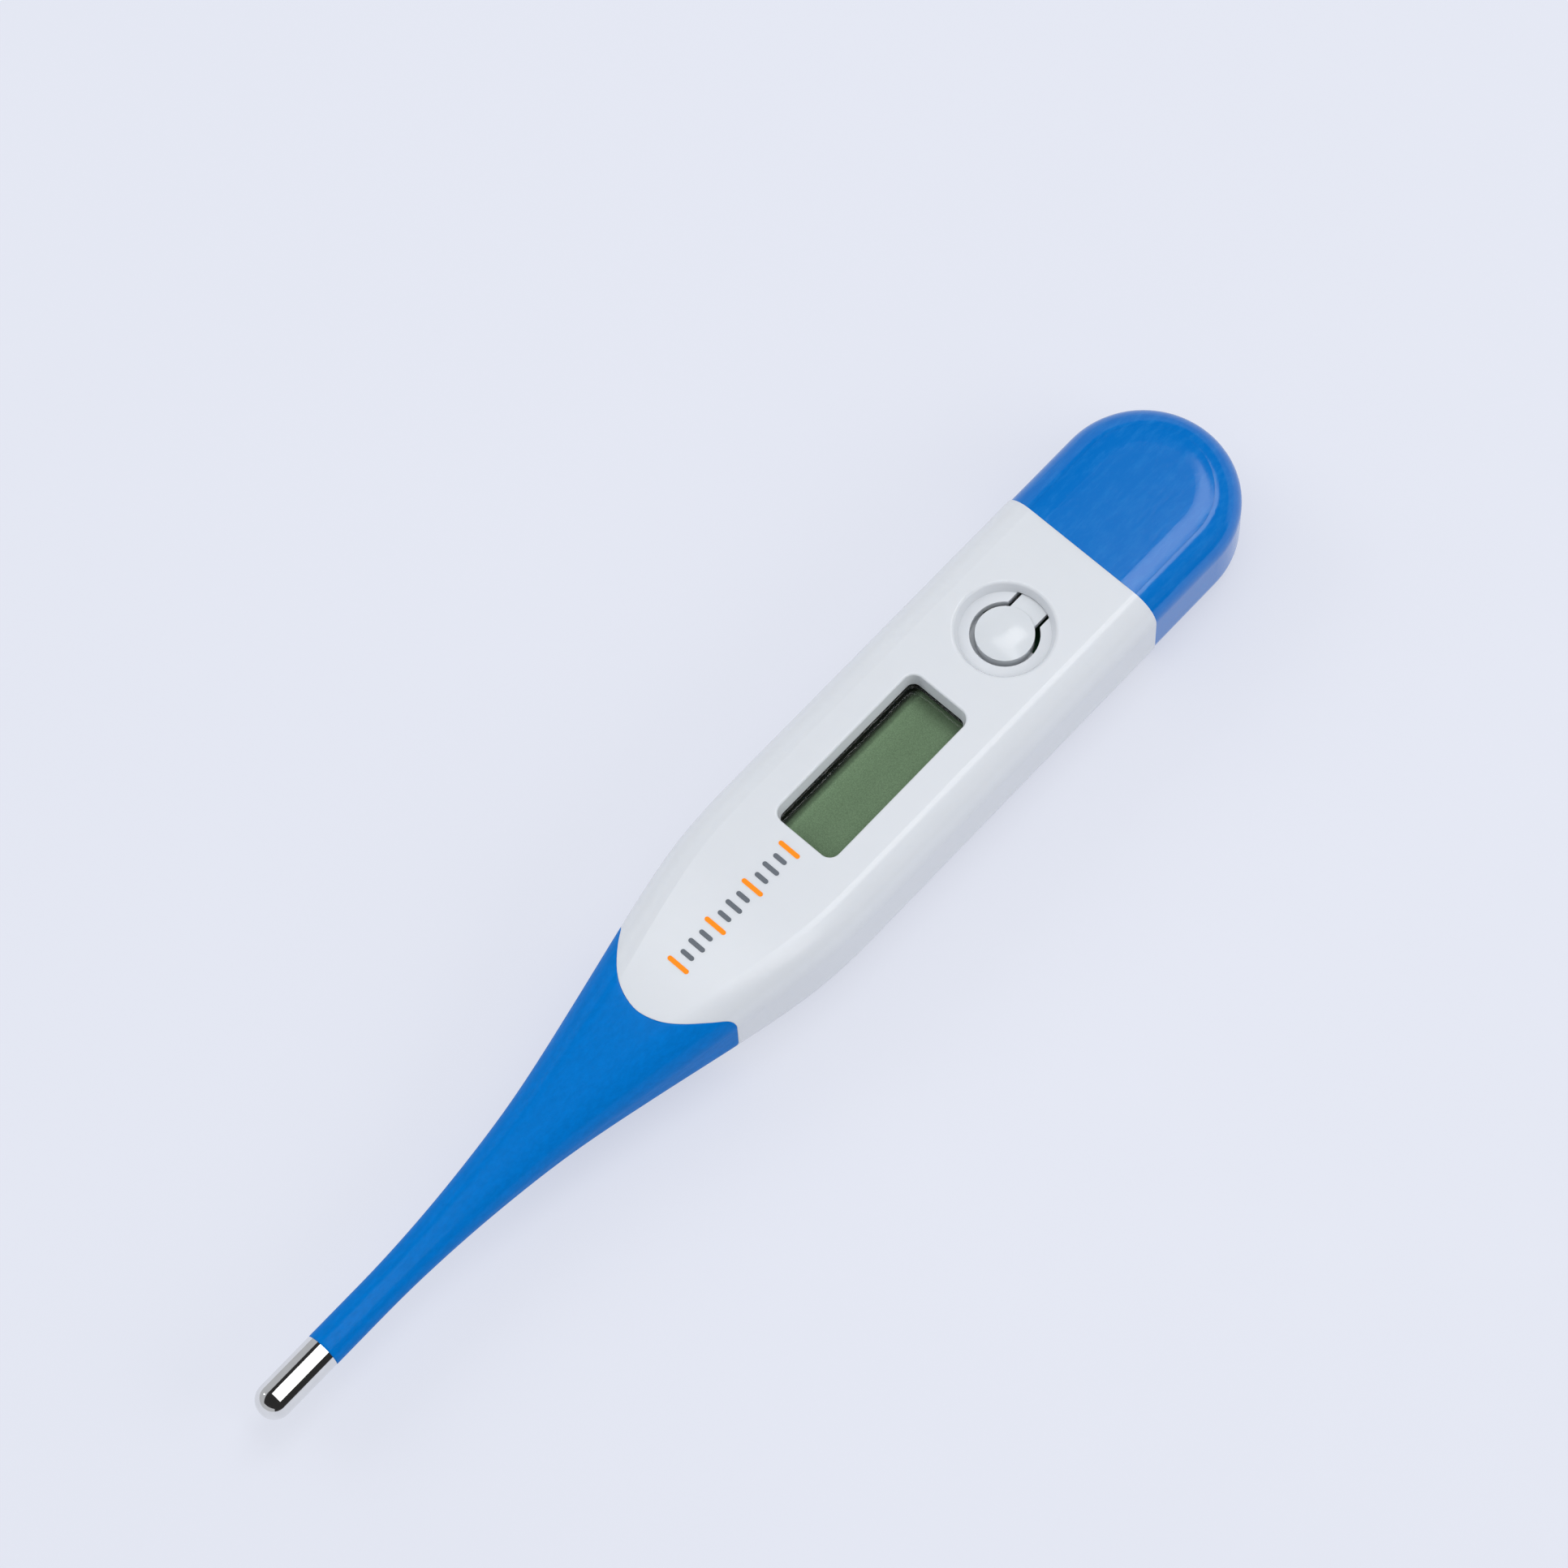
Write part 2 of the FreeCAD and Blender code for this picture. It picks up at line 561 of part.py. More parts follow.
def make_buzzer():
    plate_top = "tray_floor_top + disc_thickness"
    ceramic_top = plate_top + " + disc_thickness"
    node("buzzer_plate", post("buzzer_centre", "0", "tray_floor_top", plate_top,
                              "plate_radius"))
    node("buzzer_ceramic", post("buzzer_centre", "0", plate_top, ceramic_top,
                                "ceramic_radius"))
    left = "buzzer_centre - 1.5"
    right = "buzzer_centre + 1.5"
    foot = block(left, right, "-0.5", "0.5", ceramic_top, ceramic_top + " + 0.15")
    web = block(right + " - 0.15", right, "-0.5", "0.5", ceramic_top, "board_under")
    head = block(left, right, "-0.5", "0.5", "board_under - 0.15", "board_under")
    node("buzzer_spring", joined(foot, web, head))


def make_cell():
    top = "cell_under + cell_height"
    can = post("cell_centre", "0", "cell_under + 0.45", top, "cell_radius")
    hollow = post("cell_centre", "0", "cell_under", top + " - 0.25", "cell_radius - 0.25")
    node("battery_can", without(can, hollow))
    ring = post("cell_centre", "0", "cell_under + 0.3", top + " - 0.4", "cell_radius - 0.26")
    core = post("cell_centre", "0", "cell_under", top, "cell_radius - 0.6")
    node("battery_gasket", without(ring, core))
    node("battery_cap", post("cell_centre", "0", "cell_under", top + " - 0.5",
                             "cell_radius - 0.62"))
    arm = block("board_end - 1.2", "cell_centre + 1.5", "-1.5", "1.5", top, top + " + strip")
    tab = block("board_end - 1.2", "board_end - 0.9", "-1.5", "1.5", "board_top", top)
    node("positive_contact", joined(arm, tab))
    leaf = block("board_end + 0.2", "cell_centre + 2.4", "-1.5", "1.5", "cell_under - strip",
                 "cell_under")
    side = block("board_end + 0.2", "board_end + 0.5", "-1.5", "4.1", "cell_under - strip",
                 "cell_under")
    rise = block("board_end + 0.2", "board_end + 0.5", "2.5", "4.1", "cell_under - strip",
                 "board_top + strip")
    foot = block("board_end - 0.8", "board_end + 0.5", "2.5", "4.1", "board_top",
                 "board_top + strip")
    node("negative_contact", joined(leaf, side, rise, foot))


def crowned_pad(start):
    """Raised pad: an upright edge, then a low crown that eases up to its flat top."""
    edge_height = SIZES["body_depth"] - SIZES["crown_drop"]
    wires = []
    for step in range(PAD_CROWN_STEPS + 1):
        share = step / PAD_CROWN_STEPS
        wire = cover_wire(SIZES["pad_inset"] + SIZES["crown_width"] * share, start)
        drop = SIZES["crown_drop"] * (1 - share) ** 2
        wire.translate(FreeCAD.Vector(0, 0, SIZES["body_depth"] - drop))
        wires.append(wire)
    edge = prism(cover_wire(SIZES["pad_inset"], start), SIZES["cover_height"] - 0.6, edge_height)
    return joined(form(edge), form(Part.makeLoft(wires, True, False)))


def make_cover():
    start = SIZES["joint_plane"] + 0.02
    low = SIZES["body_depth"] - SIZES["cover_height"]
    shell = rounded_cover_form(0.0, start, low, SIZES["cover_height"], SIZES["cover_round"])
    fit = SIZES["slide_fit"]
    inset = (SIZES["cover_width"] - SIZES["spigot_inner"] - 1.6) / 2 - fit
    inner = rounded_cover_form(inset, start - 1.0, SIZES["spigot_low"] - 0.8 - fit,
                               SIZES["spigot_high"] + 0.8 + fit, 2.2)
    node("battery_cover", without(joined(form(shell), crowned_pad(start)), form(inner)))


def report_problems():
    for name, obj in NODES:
        bad = [flag for flag in obj.State if flag in ("Invalid", "Error")]
        if bad or obj.Shape.isNull() or not obj.Shape.isValid():
            raise RuntimeError("%s is not a sound shape: %s" % (name, bad))
        box = obj.Shape.BoundBox
        print("%-22s solids %d  volume %9.3f  x %7.2f %7.2f  y %6.2f %6.2f  z %6.2f %6.2f" % (
            name, len(obj.Shape.Solids), obj.Shape.Volume, box.XMin, box.XMax, box.YMin,
            box.YMax, box.ZMin, box.ZMax))


def export_nodes():
    os.makedirs("parts", exist_ok=True)
    for name, obj in NODES:
        obj.Shape.exportStep("parts/%s.step" % name)


def main():
    make_sheet()
    outer = joined(form(nose_loft(NOSE)), barrel())
    white_side = form(skirt_boundary())
    neck = inner_neck()
    make_housing(outer, white_side, neck)
    make_probe(outer, white_side, neck)
    make_tip()
    make_button()
    make_display()
    make_board()
    make_chassis()
    make_buzzer()
    make_cell()
    make_cover()
    DOC.recompute()
    report_problems()
    export_nodes()


main()
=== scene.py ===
import json
import math

import bpy
import numpy as np
from mathutils import Matrix, Vector


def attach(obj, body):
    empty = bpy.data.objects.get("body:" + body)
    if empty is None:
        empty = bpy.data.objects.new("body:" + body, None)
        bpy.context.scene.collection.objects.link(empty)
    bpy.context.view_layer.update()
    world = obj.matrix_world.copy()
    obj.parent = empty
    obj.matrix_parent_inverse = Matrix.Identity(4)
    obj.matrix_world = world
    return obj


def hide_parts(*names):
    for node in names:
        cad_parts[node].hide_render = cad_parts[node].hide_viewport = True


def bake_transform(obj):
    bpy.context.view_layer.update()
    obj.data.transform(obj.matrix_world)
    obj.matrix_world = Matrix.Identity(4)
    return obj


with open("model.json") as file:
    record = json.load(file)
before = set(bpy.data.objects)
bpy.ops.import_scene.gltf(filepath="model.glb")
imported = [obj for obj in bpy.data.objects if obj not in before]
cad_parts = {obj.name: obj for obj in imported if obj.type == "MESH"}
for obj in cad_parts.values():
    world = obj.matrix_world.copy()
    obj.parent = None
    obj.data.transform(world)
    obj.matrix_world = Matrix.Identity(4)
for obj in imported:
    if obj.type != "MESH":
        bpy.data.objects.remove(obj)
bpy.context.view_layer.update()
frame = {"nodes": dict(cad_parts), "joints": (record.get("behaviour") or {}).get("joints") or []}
NODES = frame["nodes"]
JOINTS = {joint["name"]: joint for joint in frame["joints"]}

# Lengths below are in millimetres and become metres through MM.
MM = 0.001
AXIS_HEIGHT = 5.6

# Outside of the probe and nose: station along X, width, depth and corner radius.
NOSE = [
    (-58.7, 3.70, 3.70, 1.82), (-54.0, 3.70, 3.70, 1.82), (-50.0, 3.74, 3.74, 1.83),
    (-45.0, 4.10, 4.05, 1.95), (-40.0, 4.80, 4.55, 2.15), (-35.0, 5.80, 5.25, 2.40),
    (-30.0, 7.12, 6.15, 2.75), (-25.0, 8.90, 7.20, 3.10), (-20.0, 10.95, 8.35, 3.40),
    (-15.0, 13.00, 9.45, 3.45), (-10.0, 15.05, 10.35, 3.30), (-5.0, 17.05, 10.90, 3.15),
    (-0.8, 18.42, 11.14, 3.05), (2.8, 19.12, 11.20, 3.00), (7.0, 19.40, 11.20, 3.00),
]
# Edge of the blue skin against the white tongue: half width and station.
TONGUE = [
    (0.0, -15.45), (1.5, -15.2), (3.0, -14.55), (4.4, -13.45), (5.6, -12.1), (6.5, -10.9),
    (7.2, -9.95), (7.75, -9.6), (8.4, -9.55),
]
EDGE_PASSES = 12
PROBE_END = NOSE[0][0]
SKIN_COLUMNS = 144
SKIN_STEP = 0.4
SKIN_WALL = 1.25
BORE_RADIUS = 0.95
SMALLEST_CORNER = 0.2
# Rounded rim of the skin: distance in from its edge, and how far the outside is drawn in.
EDGE_ROUNDING = [(-0.06, 0.2), (-0.01, 0.09), (0.03, 0.045), (0.08, 0.018), (0.14, 0.004)]
EDGE_SETBACK = 0.25

# The probe's joints, from the body to the tip.
BENDS = ["flex_root", "flex_upper", "flex_lower", "flex_tip"]

WIRE_RADIUS = 0.22
WIRE_OFFSET = 0.5
WIRE_START = -4.6
WIRE_END = -64.9
WIRE_STEP = 0.5
WIRE_SIDES = 12

# Printed tick scale on the white top.
TICK_START = -9.6
TICK_PITCH = 1.3
TICK_COUNT = 13
TICK_MAJOR_EVERY = 4
MAJOR_HALF_LENGTH = 1.3
EVEN_HALF_LENGTH = 1.0
ODD_HALF_LENGTH = 0.8
TICK_WIDTH = 0.5
TICK_HEIGHT = 0.012
TICK_SUNK = 0.05
TICK_END_STEPS = 8

# Painted shadow of the window's rim on the display's film, with a painted lighter band beside the
# far long edge: place and brightness, across it and along it.
FILM_PAINTED_SHADE_ACROSS = [(-3.2, 0.95), (0.0, 0.88), (1.5, 0.98), (2.2, 1.1), (2.6, 0.62), (3.0, 0.12)]
FILM_PAINTED_SHADE_ALONG = [(8.0, 1.0), (25.2, 1.0), (27.4, 0.5)]

# The window's gloss: its share seen head on, and the power by which it grows at low angles.
GLOSS_HEAD_ON = 0.03
GLOSS_POWER = 5.0
LENS_CLEARANCE = 0.015

# Camera: its distance and target on the floor, and angles in degrees.
CAMERA_DISTANCE = 600.0
CAMERA_AZIMUTH = -133.85
CAMERA_ELEVATION = 66.9
CAMERA_ROLL = -4.0
CAMERA_TARGET = (14.00, 8.41)
CAMERA_LENS = 141.0
CAMERA_SENSOR = 36.0
CAMERA_FAR_CLIP_M = 20

WHITE = (0.588, 0.611, 0.641)
BUTTON_WHITE = (0.580, 0.606, 0.632)
BLUE = (0.0, 0.140, 0.468)
# The cap's blue, and a lighter blue that paints sheen along its streaks.
CAP_BLUE_AND_PAINTED_SHEEN = [(0.0, 0.128, 0.446), (0.010, 0.160, 0.482)]
FLOOR = (0.200, 0.206, 0.229)
FLOOR_GLOW = (0.524, 0.541, 0.600)
FLOOR_REACH = 1500.0
FLOOR_CELLS = 24
# Span of the cards that only reflections see, and the height of the one overhead.
CARD_REACH = 1400
CARD_HEIGHT = 640
CARD_DARK = 0.03
WORLD_COLOUR = (0.93, 0.95, 1.0)
WORLD_STRENGTH = 0.55

# Sockets of a Mix node that carry colours: the two inputs and the result.
MIX_FIRST, MIX_SECOND, MIX_RESULT = 6, 7, 2


# ---------------------------------------------------------------- meshes

def mesh_object(name, points, faces, sharp=None):
    """Smooth mesh object from points in millimetres; edges over sharp degrees stay crisp."""
    mesh = bpy.data.meshes.new(name)
    mesh.from_pydata([tuple(c * MM for c in p) for p in points], [], faces)
    mesh.update()
    mesh.polygons.foreach_set("use_smooth", [True] * len(mesh.polygons))
    if sharp:
        mesh.set_sharp_from_angle(angle=math.radians(sharp))
    obj = bpy.data.objects.new(name, mesh)
    bpy.context.scene.collection.objects.link(obj)
    return obj


def add_form(points, faces, more_points, more_faces):
    """Adds one closed form to the points and faces of another."""
    base = len(points)
    points += more_points
    faces += [tuple(base + i for i in face) for face in more_faces]


def grid_faces(rows, columns, around=True):
    """Quads over a grid of points stored row by row, closed around each row."""
    faces = []
    for row in range(rows - 1):
        for column in range(columns if around else columns - 1):
            following = (column + 1) % columns
            faces.append((row * columns + column, row * columns + following,
                          (row + 1) * columns + following, (row + 1) * columns + column))
    return faces


class Spline:
    """Smooth curve through values given at rising places, with free ends."""

    def __init__(self, places, values):
        self.x = np.array(places, float)
        self.y = np.array(values, float)
        count = len(self.x)
        gap = np.diff(self.x)
        matrix = np.eye(count)
        right = np.zeros(count)
        for i in range(1, count - 1):
            matrix[i, i - 1:i + 2] = gap[i - 1], 2 * (gap[i - 1] + gap[i]), gap[i]
            slope = (self.y[i + 1] - self.y[i]) / gap[i] - (self.y[i] - self.y[i - 1]) / gap[i - 1]
            right[i] = 6 * slope
        self.bend = np.linalg.solve(matrix, right)

    def __call__(self, place):
        i = int(np.clip(np.searchsorted(self.x, place) - 1, 0, len(self.x) - 2))
        gap = self.x[i + 1] - self.x[i]
        a = (self.x[i + 1] - place) / gap
        b = 1 - a
        cubic = (a ** 3 - a) * self.bend[i] + (b ** 3 - b) * self.bend[i + 1]
        return a * self.y[i] + b * self.y[i + 1] + cubic * gap * gap / 6


STATIONS, *MEASURES = zip(*NOSE)
WIDTH, DEPTH, CORNER = (Spline(STATIONS, measure) for measure in MEASURES)
EDGE_CURVE = Spline(*zip(*TONGUE))


def section_point(x, share, inset=0.0):
    """Point on the rounded rectangle at station x, a share of the way round from the top."""
    half = WIDTH(x) / 2 - inset
    rise = DEPTH(x) / 2 - inset
    radius = min(max(CORNER(x) - inset, SMALLEST_CORNER), half, rise)
    flat, wall, arc = half - radius, rise - radius, math.pi / 2 * radius
    quarter = flat + wall + arc
    turn = share % 1.0 * 4
    side = int(turn)
    along = (turn - side) * quarter
    if side % 2:
        along = quarter - along
    if along <= flat:
        across, up = along, rise
    elif along <= flat + arc:
        angle = (along - flat) / radius
        across, up = flat + radius * math.sin(angle), wall + radius * math.cos(angle)
    else:
        across, up = half, wall - (along - flat - arc)
    right = 1 if side < 2 else -1
    above = 1 if side in (0, 3) else -1
    return (x, right * across, AXIS_HEIGHT + above * up)


def edge_station(share):
    """Station where the skin ends on one line round the section."""
    widest, last = TONGUE[-1]
    x = last
    for _ in range(EDGE_PASSES):
        across = abs(section_point(x, share)[1])
        x = EDGE_CURVE(across) if across < widest else last
    return x


def inner_point(x, share):
    """Point on the inside of the skin: an even wall, down to the bore for the wires."""
    point = section_point(x, share, SKIN_WALL)
    across, up = point[1], point[2] - AXIS_HEIGHT
    reach = math.hypot(across, up)
    if reach < BORE_RADIUS:
        across, up = across * BORE_RADIUS / reach, up * BORE_RADIUS / reach
    return (x, across, AXIS_HEIGHT + up)


def tube_skin(name, starts, end, rounded_start, rounded_end):
    """Closed elastomer tube between a start station for each line round it and one end."""
    rows = max(3, int((max(starts) - end) / SKIN_STEP))
    lines = []
    for column, start in enumerate(starts):
        share = column / len(starts)
        outer = []
        if rounded_start:
            outer = [section_point(start - d, share, drop) for d, drop in EDGE_ROUNDING]
            start -= EDGE_SETBACK
        stop = end + EDGE_SETBACK if rounded_end else end
        outer += [section_point(start + (stop - start) * i / rows, share) for i in range(rows + 1)]
        if rounded_end:
            outer += [section_point(end + d, share, drop) for d, drop in reversed(EDGE_ROUNDING[1:])]
        inner = [inner_point(start + (end - start) * i / rows, share) for i in range(rows, -1, -1)]
        lines.append(outer + inner)
    columns = len(lines)
    count = len(lines[0])
    points = [line[row] for row in range(count) for line in lines]
    faces = grid_faces(count, columns)
    faces += [((count - 1) * columns + c, (count - 1) * columns + (c + 1) % columns,
               (c + 1) % columns, c) for c in range(columns)]
    return mesh_object(name, points, faces, sharp=50)


def pivot_of(joint):
    """Station of a joint's axis."""
    return JOINTS[joint]["pos_m"][0] / MM


def bend_ends(last):
    """Station where each bend's length ends: halfway to the next axis, and the given last one."""
    pivots = [pivot_of(name) for name in BENDS]
    return [(a + b) / 2 for a, b in zip(pivots, pivots[1:])] + [last]


def make_probe_skin():
    """Blue elastomer from the white tongue to the metal tip, in one length for each bend."""
    replaced = [("probe_skirt", "probe_flex_1"), ("probe_flex_2",), ("probe_flex_3",),
                ("probe_sleeve",)]
    starts = [edge_station(c / SKIN_COLUMNS) for c in range(SKIN_COLUMNS)]
    pieces = []
    for index, (bend, cut, nodes) in enumerate(zip(BENDS, bend_ends(PROBE_END), replaced)):
        piece = tube_skin("probe_skin_%d" % (index + 1), starts, cut,
                          rounded_start=index == 0, rounded_end=cut == PROBE_END)
        finish_bending(piece)
        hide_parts(*nodes)
        pieces.append(piece)
        starts = [cut] * SKIN_COLUMNS
    return pieces


def finish_bending(piece):
    """Bakes a piece's placement into its mesh."""
    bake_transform(piece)


def wire_form(start, end, across):
    """Points and faces of one length of wire, closed at both ends."""
    rows = int((start - end) / WIRE_STEP) + 2
    points = []
    for row in range(rows):
        x = start + (end - start) * row / (rows - 1)
        for k in range(WIRE_SIDES):
            angle = 2 * math.pi * k / WIRE_SIDES
            points.append((x, across + WIRE_RADIUS * math.sin(angle),
                           AXIS_HEIGHT + WIRE_RADIUS * math.cos(angle)))
    faces = grid_faces(rows, WIRE_SIDES)
    faces.append(tuple(reversed(range(WIRE_SIDES))))
    faces.append(tuple(range((rows - 1) * WIRE_SIDES, rows * WIRE_SIDES)))
    return points, faces


def make_lead_wires():
    """The two enamelled wires in the bore, in one length for each bend."""
    start = WIRE_START
    pieces = []
    for index, (bend, end) in enumerate(zip(BENDS, bend_ends(WIRE_END))):
        points, faces = [], []
        for across in (WIRE_OFFSET, -WIRE_OFFSET):
            add_form(points, faces, *wire_form(start, end, across))
        piece = mesh_object("lead_wires_%d" % (index + 1), points, faces, sharp=40)
        finish_bending(piece)
        pieces.append(piece)
        start = end
    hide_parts("lead_wire_left", "lead_wire_right")
    return pieces


def tick_half_length(index):
    if index % TICK_MAJOR_EVERY == 0:
        return MAJOR_HALF_LENGTH
    return EVEN_HALF_LENGTH if index % 2 == 0 else ODD_HALF_LENGTH


def tick_form(index):
    """Points and faces of one thin bar with round ends, laid on the white top."""
    x = TICK_START + index * TICK_PITCH
    half = tick_half_length(index)
    radius = TICK_WIDTH / 2
    outline = []
    for end in (1, -1):
        for k in range(TICK_END_STEPS + 1):
            angle = math.pi * k / TICK_END_STEPS
            outline.append((end * radius * math.cos(angle),
                            end * (half - radius + radius * math.sin(angle))))
    count = len(outline)
    points = [(x + along, across, surface_height(x + along) + lift)
              for lift in (-TICK_SUNK, TICK_HEIGHT) for along, across in outline]
    faces = [tuple(range(count, 2 * count)), tuple(reversed(range(count)))]
    faces += [(i, (i + 1) % count, count + (i + 1) % count, count + i) for i in range(count)]
    return points, faces


def make_print():
    """Tick scale printed on the white top, its major ticks orange and the others grey."""
    marks = {"print_grey": ([], []), "print_orange": ([], [])}
    for index in range(TICK_COUNT):
        major = index % TICK_MAJOR_EVERY == 0
        points, faces = marks["print_orange" if major else "print_grey"]
        add_form(points, faces, *tick_form(index))
    pieces = []
    for name, (points, faces) in marks.items():
        piece = mesh_object(name, points, faces, sharp=40)
        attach(piece, "main")
        pieces.append(piece)
    return pieces


def surface_height(x):
    """Height of the top face at a station on the nose."""
    return AXIS_HEIGHT + DEPTH(x) / 2


# ---------------------------------------------------------------- materials

class Finish:
    """A Principled material whose detail is built from noise in the piece's own coordinates.

    Further inputs are given by name, with _ for a space and lengths in metres.
    """

    def __init__(self, name, colour, roughness, **constants):
        self.material = bpy.data.materials.new(name)
        self.material.use_nodes = True
        self.tree = self.material.node_tree
        self.shader = self.tree.nodes["Principled BSDF"]
        self.colour = colour
        self.set(self.shader, "Base Color", (*colour, 1))
        self.set(self.shader, "Roughness", roughness)
        for key, value in constants.items():
            self.set(self.shader, key.replace("_", " "), value)
        self.coordinates = self.tree.nodes.new("ShaderNodeTexCoord").outputs
        self.place = self.coordinates["Object"]
        self.relief = None

    @staticmethod
    def set(node, socket, value):
        node.inputs[socket].default_value = value

    def link(self, source, node, socket):
        self.tree.links.new(source, node.inputs[socket])

    def noise(self, per_mm, stretch=(1, 1, 1), detail=3.0, roughness=0.55):
        """Noise with so many features to the millimetre, longer along axes below 1."""
        mapping = self.tree.nodes.new("ShaderNodeMapping")
        self.set(mapping, "Scale", tuple(per_mm / MM * s for s in stretch))
        self.link(self.place, mapping, "Vector")
        noise = self.tree.nodes.new("ShaderNodeTexNoise")
        self.set(noise, "Scale", 1.0)
        self.set(noise, "Detail", detail)
        self.set(noise, "Roughness", roughness)
        self.link(mapping.outputs["Vector"], noise, "Vector")
        return noise.outputs["Fac"]

    def ramp(self, source, low, high, at=(0.35, 0.65)):
        """Value or colour between low and high as the source rises."""
        ramp = self.tree.nodes.new("ShaderNodeValToRGB")
        for element, where, value in zip(ramp.color_ramp.elements, at, (low, high)):
            element.position = where
            element.color = (*value, 1) if hasattr(value, "__len__") else (value, value, value, 1)
        self.link(source, ramp, "Fac")
        return ramp.outputs["Color"]

    def mottle(self, source, change, at=(0.35, 0.65)):
        """Slightly darker and lighter patches of the material's own colour."""
        low = [c * (1 - change) for c in self.colour]
        high = [min(1, c * (1 + change)) for c in self.colour]
        self.link(self.ramp(source, low, high, at), self.shader, "Base Color")

    def rough(self, source, low, high, at=(0.35, 0.65)):
        """Roughness between two values as the source rises."""
        self.link(self.ramp(source, low, high, at), self.shader, "Roughness")

    def shade(self, axis, stops):
        """Paints light and shade into the colour: multiplies it by values given at places along one
        axis, in millimetres.
        """
        split = self.tree.nodes.new("ShaderNodeSeparateXYZ")
        self.link(self.place, split, "Vector")
        span = self.tree.nodes.new("ShaderNodeMapRange")
        low, high = stops[0][0], stops[-1][0]
        self.set(span, "From Min", low * MM)
        self.set(span, "From Max", high * MM)
        self.link(split.outputs[axis], span, "Value")
        ramp = self.tree.nodes.new("ShaderNodeValToRGB")
        ramp.color_ramp.interpolation = "EASE"
        points = ramp.color_ramp.elements
        while len(points) < len(stops):
            points.new(0.5)
        for point, (place, value) in zip(points, stops):
            point.position = (place - low) / (high - low)
            point.color = (value, value, value, 1)
        self.link(span.outputs["Result"], ramp, "Fac")
        mix = self.tree.nodes.new("ShaderNodeMix")
        mix.data_type = "RGBA"
        mix.blend_type = "MULTIPLY"
        self.set(mix, 0, 1.0)
        source = self.shader.inputs["Base Color"].links[0].from_socket
        self.link(source, mix, MIX_FIRST)
        self.link(ramp.outputs["Color"], mix, MIX_SECOND)
        self.link(mix.outputs[MIX_RESULT], self.shader, "Base Color")

    def bump(self, source, height):
        """Relief of so many millimetres, added to any there already."""
        bump = self.tree.nodes.new("ShaderNodeBump")
        self.set(bump, "Distance", height * MM)
        self.set(bump, "Strength", 1.0)
        self.link(source, bump, "Height")
        if self.relief:
            self.link(self.relief, bump, "Normal")
        self.relief = bump.outputs["Normal"]
        self.link(self.relief, self.shader, "Normal")
        self.link(self.relief, self.shader, "Coat Normal")


def white_abs(name, colour, roughness):
    finish = Finish(name, colour, roughness, IOR=1.5, Subsurface_Weight=0.3,
                    Subsurface_Radius=(0.0011, 0.0010, 0.0009), Subsurface_Scale=1.0)
    finish.mottle(finish.noise(0.12, detail=3), 0.008, at=(0.2, 0.8))
    finish.rough(finish.noise(0.8, detail=3), roughness - 0.03, roughness + 0.04, at=(0.2, 0.8))
    finish.bump(finish.noise(6, detail=2), 0.0006)
    return finish.material


def blue_tpe():
    finish = Finish("blue_tpe", BLUE, 0.42, IOR=1.48, Specular_IOR_Level=0.01,
                    Coat_Weight=0.14, Coat_Roughness=0.14, Subsurface_Weight=0.05,
                    Subsurface_Radius=(0.0004, 0.0006, 0.001), Subsurface_Scale=1.0)
    finish.mottle(finish.noise(2.2, stretch=(0.5, 1, 1), detail=5, roughness=0.7), 0.07)
    finish.rough(finish.noise(1.4, stretch=(0.25, 1, 1), detail=6), 0.34, 0.5)
    finish.bump(finish.noise(4.5, stretch=(0.6, 1, 1), detail=4), 0.009)
    finish.bump(finish.noise(1.1, stretch=(0.3, 1, 1), detail=3), 0.006)
    return finish.material


def blue_abs():
    finish = Finish("blue_abs", BLUE, 0.4, IOR=1.5, Specular_IOR_Level=0.01, Coat_Weight=0.85,
                    Coat_Roughness=0.11)
    streaks = finish.noise(1.3, stretch=(0.3, 1, 1), detail=8, roughness=0.75)
    # Lighter streaks in the base colour are painted sheen.
    painted_sheen_streaks = finish.ramp(streaks, *CAP_BLUE_AND_PAINTED_SHEEN, at=(0.46, 0.72))
    finish.link(painted_sheen_streaks, finish.shader, "Base Color")
    finish.rough(streaks, 0.24, 0.46, at=(0.3, 0.7))
    finish.bump(streaks, 0.009)
    finish.bump(finish.noise(6, detail=4), 0.0012)
    return finish.material


def metal(name, colour, roughness, grain, stretch=(1, 1, 1)):
    finish = Finish(name, colour, roughness, Metallic=1.0)
    fine = finish.noise(grain, stretch=stretch, detail=4)
    finish.mottle(finish.noise(grain * 0.2, detail=3), 0.03)
    finish.rough(fine, roughness * 0.8, roughness * 1.3)
    finish.bump(fine, 0.0004)
    return finish.material


def moulded(name, colour, roughness, grain, relief, **constants):
    finish = Finish(name, colour, roughness, **constants)
    finish.mottle(finish.noise(grain * 0.4, detail=4), 0.08)
    finish.rough(finish.noise(grain, detail=4), roughness * 0.85, min(1, roughness * 1.2))
    finish.bump(finish.noise(grain * 3, detail=3), relief)
    return finish.material


def lcd_film():
    """Green polariser with fine grain, and a painted shadow of the window's rim darkening it towards
    two of its edges, with a painted lighter band beside the far long one.
    """
    finish = Finish("polariser", (0.168, 0.248, 0.147), 0.38, IOR=1.45, Specular_IOR_Level=0.1)
    finish.mottle(finish.noise(9, detail=2, roughness=0.9), 0.2)
    # Painted shadow of the window's rim, and a painted lighter band, across and along the film.
    finish.shade(1, FILM_PAINTED_SHADE_ACROSS)
    finish.shade(0, FILM_PAINTED_SHADE_ALONG)
    finish.rough(finish.noise(0.4, detail=3), 0.34, 0.44)
    finish.bump(finish.noise(12, detail=2), 0.002)
    return finish.material


def printed_ink(name, colour):
    finish = Finish(name, colour, 0.5, IOR=1.45, Specular_IOR_Level=0.2)
    finish.mottle(finish.noise(14, detail=3), 0.12)
    finish.rough(finish.noise(8, detail=3), 0.42, 0.58)
    finish.bump(finish.noise(20, detail=2), 0.002)
    return finish.material


